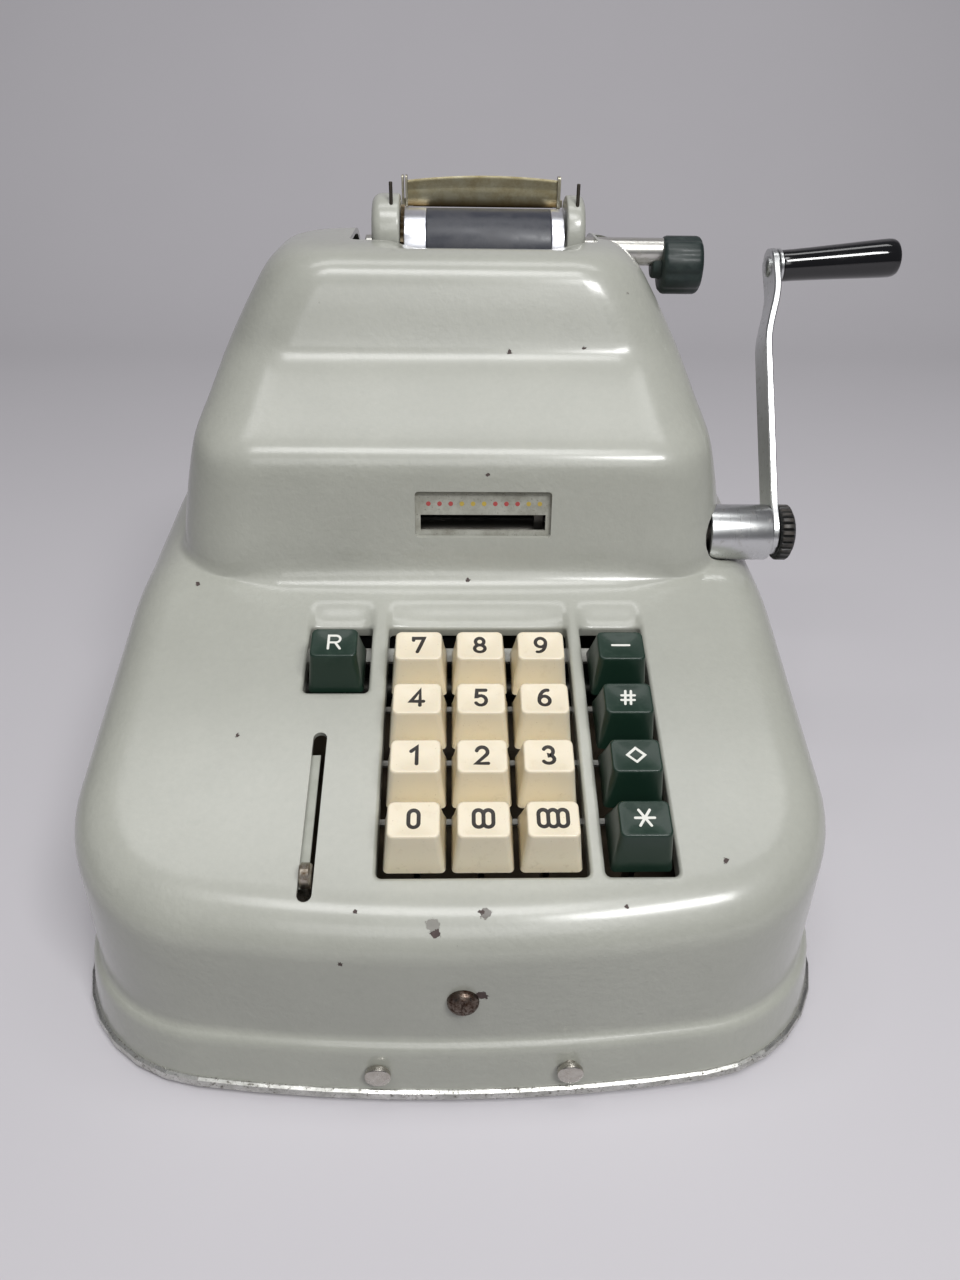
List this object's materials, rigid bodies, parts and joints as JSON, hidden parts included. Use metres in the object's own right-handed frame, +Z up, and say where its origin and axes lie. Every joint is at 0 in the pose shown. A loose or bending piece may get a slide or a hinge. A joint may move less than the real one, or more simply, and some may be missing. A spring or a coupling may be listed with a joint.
{
  "type": "mechanical calculator",
  "caption": "Hand-cranked printing adding machine with a ten-key board, function keys, sight window, correction lever, side crank and a platen with knob on top.",
  "frame": {"origin": "on the table under the middle of the machine's overall length, width and height, crank included", "axes": "+X to the crank side, +Y from the keyboard to the back, +Z up"},
  "size_m": [0.2864, 0.3034, 0.225],
  "materials": {
    "case_paint": "hammered enamel",
    "pan_paint": "dull black lacquer",
    "trim_metal": "worn bright",
    "foot_rubber": "matt",
    "screw_steel": "zinc plated",
    "lock_screw_steel": "dark worn",
    "stud_nickel": "dull nickel",
    "frame_steel": "zinc plated sheet",
    "bar_paint": "satin grey",
    "spring_steel": "blued",
    "ivory_plastic": "worn gloss",
    "green_plastic": "worn gloss",
    "lever_steel": "worn bright",
    "indicator_paint": "satin",
    "mech_steel": "oiled",
    "brass_gear": "oiled",
    "crank_nickel": "satin nickel",
    "nut_black": "dull black",
    "grip_black": "polished",
    "spool_steel": "plain",
    "ribbon_cloth": "inked",
    "platen_rubber": "ground",
    "platen_metal": "turned",
    "knob_plastic": "worn",
    "ratchet_metal": "plain",
    "cheek_paint": "enamel",
    "tear_brass": "dull aged",
    "pin_steel": "plain"
  },
  "bodies": {
    "chassis": {"case_cover": "case_paint", "base_pan": "pan_paint", "base_trim": "trim_metal", "rubber_feet": "foot_rubber", "chassis_screws": "screw_steel", "cover_lock_screw": "lock_screw_steel", "skirt_studs": "stud_nickel", "side_frame_left": "frame_steel", "side_frame_right": "frame_steel", "frame_tie_rods": "frame_steel", "key_guide_bars": "bar_paint", "key_guide_plate": "frame_steel", "key_spring_comb": "spring_steel", "indicator_plate": "indicator_paint", "carriage_rails": "mech_steel", "type_bar_guide": "frame_steel", "main_bushes": "brass_gear", "cheek_left": "cheek_paint", "cheek_right": "cheek_paint", "tear_bar": "tear_brass", "paper_pins": "pin_steel", "paper_roll_holder": "frame_steel", "ribbon": "ribbon_cloth"},
    "key_0": {"key_0": "ivory_plastic"},
    "key_00": {"key_00": "ivory_plastic"},
    "key_000": {"key_000": "ivory_plastic"},
    "key_1": {"key_1": "ivory_plastic"},
    "key_2": {"key_2": "ivory_plastic"},
    "key_3": {"key_3": "ivory_plastic"},
    "key_4": {"key_4": "ivory_plastic"},
    "key_5": {"key_5": "ivory_plastic"},
    "key_6": {"key_6": "ivory_plastic"},
    "key_7": {"key_7": "ivory_plastic"},
    "key_8": {"key_8": "ivory_plastic"},
    "key_9": {"key_9": "ivory_plastic"},
    "key_minus": {"key_minus": "green_plastic"},
    "key_non_add": {"key_non_add": "green_plastic"},
    "key_subtotal": {"key_subtotal": "green_plastic"},
    "key_total": {"key_total": "green_plastic"},
    "key_repeat": {"key_repeat": "green_plastic"},
    "correction_lever": {"correction_lever": "lever_steel"},
    "pin_carriage": {"pin_carriage": "mech_steel"},
    "type_bars": {"type_bars": "mech_steel"},
    "accumulator": {"accumulator_wheels": "mech_steel"},
    "crank": {"main_shaft": "mech_steel", "drive_gear": "brass_gear", "crank_hub": "crank_nickel", "crank_arm": "crank_nickel", "crank_nut": "nut_black", "grip_spindle": "crank_nickel"},
    "cam_unit": {"cam_shaft": "mech_steel", "cam_gear": "mech_steel"},
    "crank_grip": {"crank_grip": "grip_black"},
    "spool_left": {"ribbon_spool_left": "spool_steel"},
    "spool_right": {"ribbon_spool_right": "spool_steel"},
    "platen": {"platen_rubber": "platen_rubber", "platen_shaft": "platen_metal", "platen_knob": "knob_plastic", "ratchet_wheel": "ratchet_metal"},
    "pressure_roller": {"pressure_roller": "platen_rubber"}
  },
  "joints": [
    {"name": "key_0_press", "type": "slide", "parent": "chassis", "child": "key_0", "axis": [0, 0.342, -0.9397], "range_m": [0, 0.004], "stiffness_N_per_m": 150, "springref_m": -0.003},
    {"name": "key_00_press", "type": "slide", "parent": "chassis", "child": "key_00", "axis": [0, 0.342, -0.9397], "range_m": [0, 0.004], "stiffness_N_per_m": 150, "springref_m": -0.003},
    {"name": "key_000_press", "type": "slide", "parent": "chassis", "child": "key_000", "axis": [0, 0.342, -0.9397], "range_m": [0, 0.004], "stiffness_N_per_m": 150, "springref_m": -0.003},
    {"name": "key_1_press", "type": "slide", "parent": "chassis", "child": "key_1", "axis": [0, 0.342, -0.9397], "range_m": [0, 0.004], "stiffness_N_per_m": 150, "springref_m": -0.003},
    {"name": "key_2_press", "type": "slide", "parent": "chassis", "child": "key_2", "axis": [0, 0.342, -0.9397], "range_m": [0, 0.004], "stiffness_N_per_m": 150, "springref_m": -0.003},
    {"name": "key_3_press", "type": "slide", "parent": "chassis", "child": "key_3", "axis": [0, 0.342, -0.9397], "range_m": [0, 0.004], "stiffness_N_per_m": 150, "springref_m": -0.003},
    {"name": "key_4_press", "type": "slide", "parent": "chassis", "child": "key_4", "axis": [0, 0.342, -0.9397], "range_m": [0, 0.004], "stiffness_N_per_m": 150, "springref_m": -0.003},
    {"name": "key_5_press", "type": "slide", "parent": "chassis", "child": "key_5", "axis": [0, 0.342, -0.9397], "range_m": [0, 0.004], "stiffness_N_per_m": 150, "springref_m": -0.003},
    {"name": "key_6_press", "type": "slide", "parent": "chassis", "child": "key_6", "axis": [0, 0.342, -0.9397], "range_m": [0, 0.004], "stiffness_N_per_m": 150, "springref_m": -0.003},
    {"name": "key_7_press", "type": "slide", "parent": "chassis", "child": "key_7", "axis": [0, 0.342, -0.9397], "range_m": [0, 0.004], "stiffness_N_per_m": 150, "springref_m": -0.003},
    {"name": "key_8_press", "type": "slide", "parent": "chassis", "child": "key_8", "axis": [0, 0.342, -0.9397], "range_m": [0, 0.004], "stiffness_N_per_m": 150, "springref_m": -0.003},
    {"name": "key_9_press", "type": "slide", "parent": "chassis", "child": "key_9", "axis": [0, 0.342, -0.9397], "range_m": [0, 0.004], "stiffness_N_per_m": 150, "springref_m": -0.003},
    {"name": "key_minus_press", "type": "slide", "parent": "chassis", "child": "key_minus", "axis": [0, 0.342, -0.9397], "range_m": [0, 0.004], "stiffness_N_per_m": 150, "springref_m": -0.003},
    {"name": "key_non_add_press", "type": "slide", "parent": "chassis", "child": "key_non_add", "axis": [0, 0.342, -0.9397], "range_m": [0, 0.004], "stiffness_N_per_m": 150, "springref_m": -0.003},
    {"name": "key_subtotal_press", "type": "slide", "parent": "chassis", "child": "key_subtotal", "axis": [0, 0.342, -0.9397], "range_m": [0, 0.004], "stiffness_N_per_m": 150, "springref_m": -0.003},
    {"name": "key_total_press", "type": "slide", "parent": "chassis", "child": "key_total", "axis": [0, 0.342, -0.9397], "range_m": [0, 0.004], "stiffness_N_per_m": 150, "springref_m": -0.003},
    {"name": "key_repeat_press", "type": "slide", "parent": "chassis", "child": "key_repeat", "axis": [0, 0.342, -0.9397], "range_m": [0, 0.004], "stiffness_N_per_m": 150, "springref_m": -0.003},
    {"name": "correction_slide", "type": "slide", "parent": "chassis", "child": "correction_lever", "axis": [0, 0.9397, 0.342], "range_m": [0, 0.042]},
    {"name": "carriage_slide", "type": "slide", "parent": "chassis", "child": "pin_carriage", "axis": [-1, 0, 0], "range_m": [0, 0.041]},
    {"name": "crank_turn", "type": "hinge", "parent": "chassis", "child": "crank", "pos_m": [-0.02401, -0.005, 0.1162], "axis": [1, 0, 0], "range_deg": [0, 95], "stiffness_Nm_per_rad": 0.4, "springref_deg": -34.38},
    {"name": "cam_turn", "type": "hinge", "parent": "chassis", "child": "cam_unit", "pos_m": [-0.02401, 0.02319, 0.10594], "axis": [1, 0, 0], "range_deg": [-64, 1]},
    {"name": "type_bar_rise", "type": "slide", "parent": "chassis", "child": "type_bars", "axis": [0, 0, 1], "range_m": [-0.0005, 0.0255]},
    {"name": "accumulator_turn", "type": "hinge", "parent": "chassis", "child": "accumulator", "pos_m": [-0.02401, 0.062, 0.112], "axis": [1, 0, 0], "range_deg": [-144, 2]},
    {"name": "grip_spin", "type": "hinge", "parent": "crank", "child": "crank_grip", "pos_m": [0.09379, 0.05508, 0.19739], "axis": [0.9962, 0.0518, 0.0701], "continuous": true},
    {"name": "platen_turn", "type": "hinge", "parent": "chassis", "child": "platen", "pos_m": [-0.02401, 0.067, 0.2004], "axis": [1, 0, 0], "continuous": true},
    {"name": "roller_turn", "type": "hinge", "parent": "chassis", "child": "pressure_roller", "pos_m": [-0.02401, 0.0769, 0.18325], "axis": [1, 0, 0], "continuous": true},
    {"name": "spool_left_turn", "type": "hinge", "parent": "chassis", "child": "spool_left", "pos_m": [-0.06401, 0.0406, 0.188], "axis": [0, 0, 1], "continuous": true},
    {"name": "spool_right_turn", "type": "hinge", "parent": "chassis", "child": "spool_right", "pos_m": [0.02749, 0.0424, 0.188], "axis": [0, 0, 1], "continuous": true}
  ],
  "couplings": [
    {"joint": "cam_turn", "follows": "crank_turn", "ratio": -0.66667},
    {"joint": "type_bar_rise", "follows": "crank_turn", "m_per_rad": 0.015078},
    {"joint": "accumulator_turn", "follows": "crank_turn", "ratio": -1.5},
    {"joint": "roller_turn", "follows": "platen_turn", "ratio": -2.9},
    {"joint": "spool_right_turn", "follows": "spool_left_turn", "ratio": 1}
  ]
}
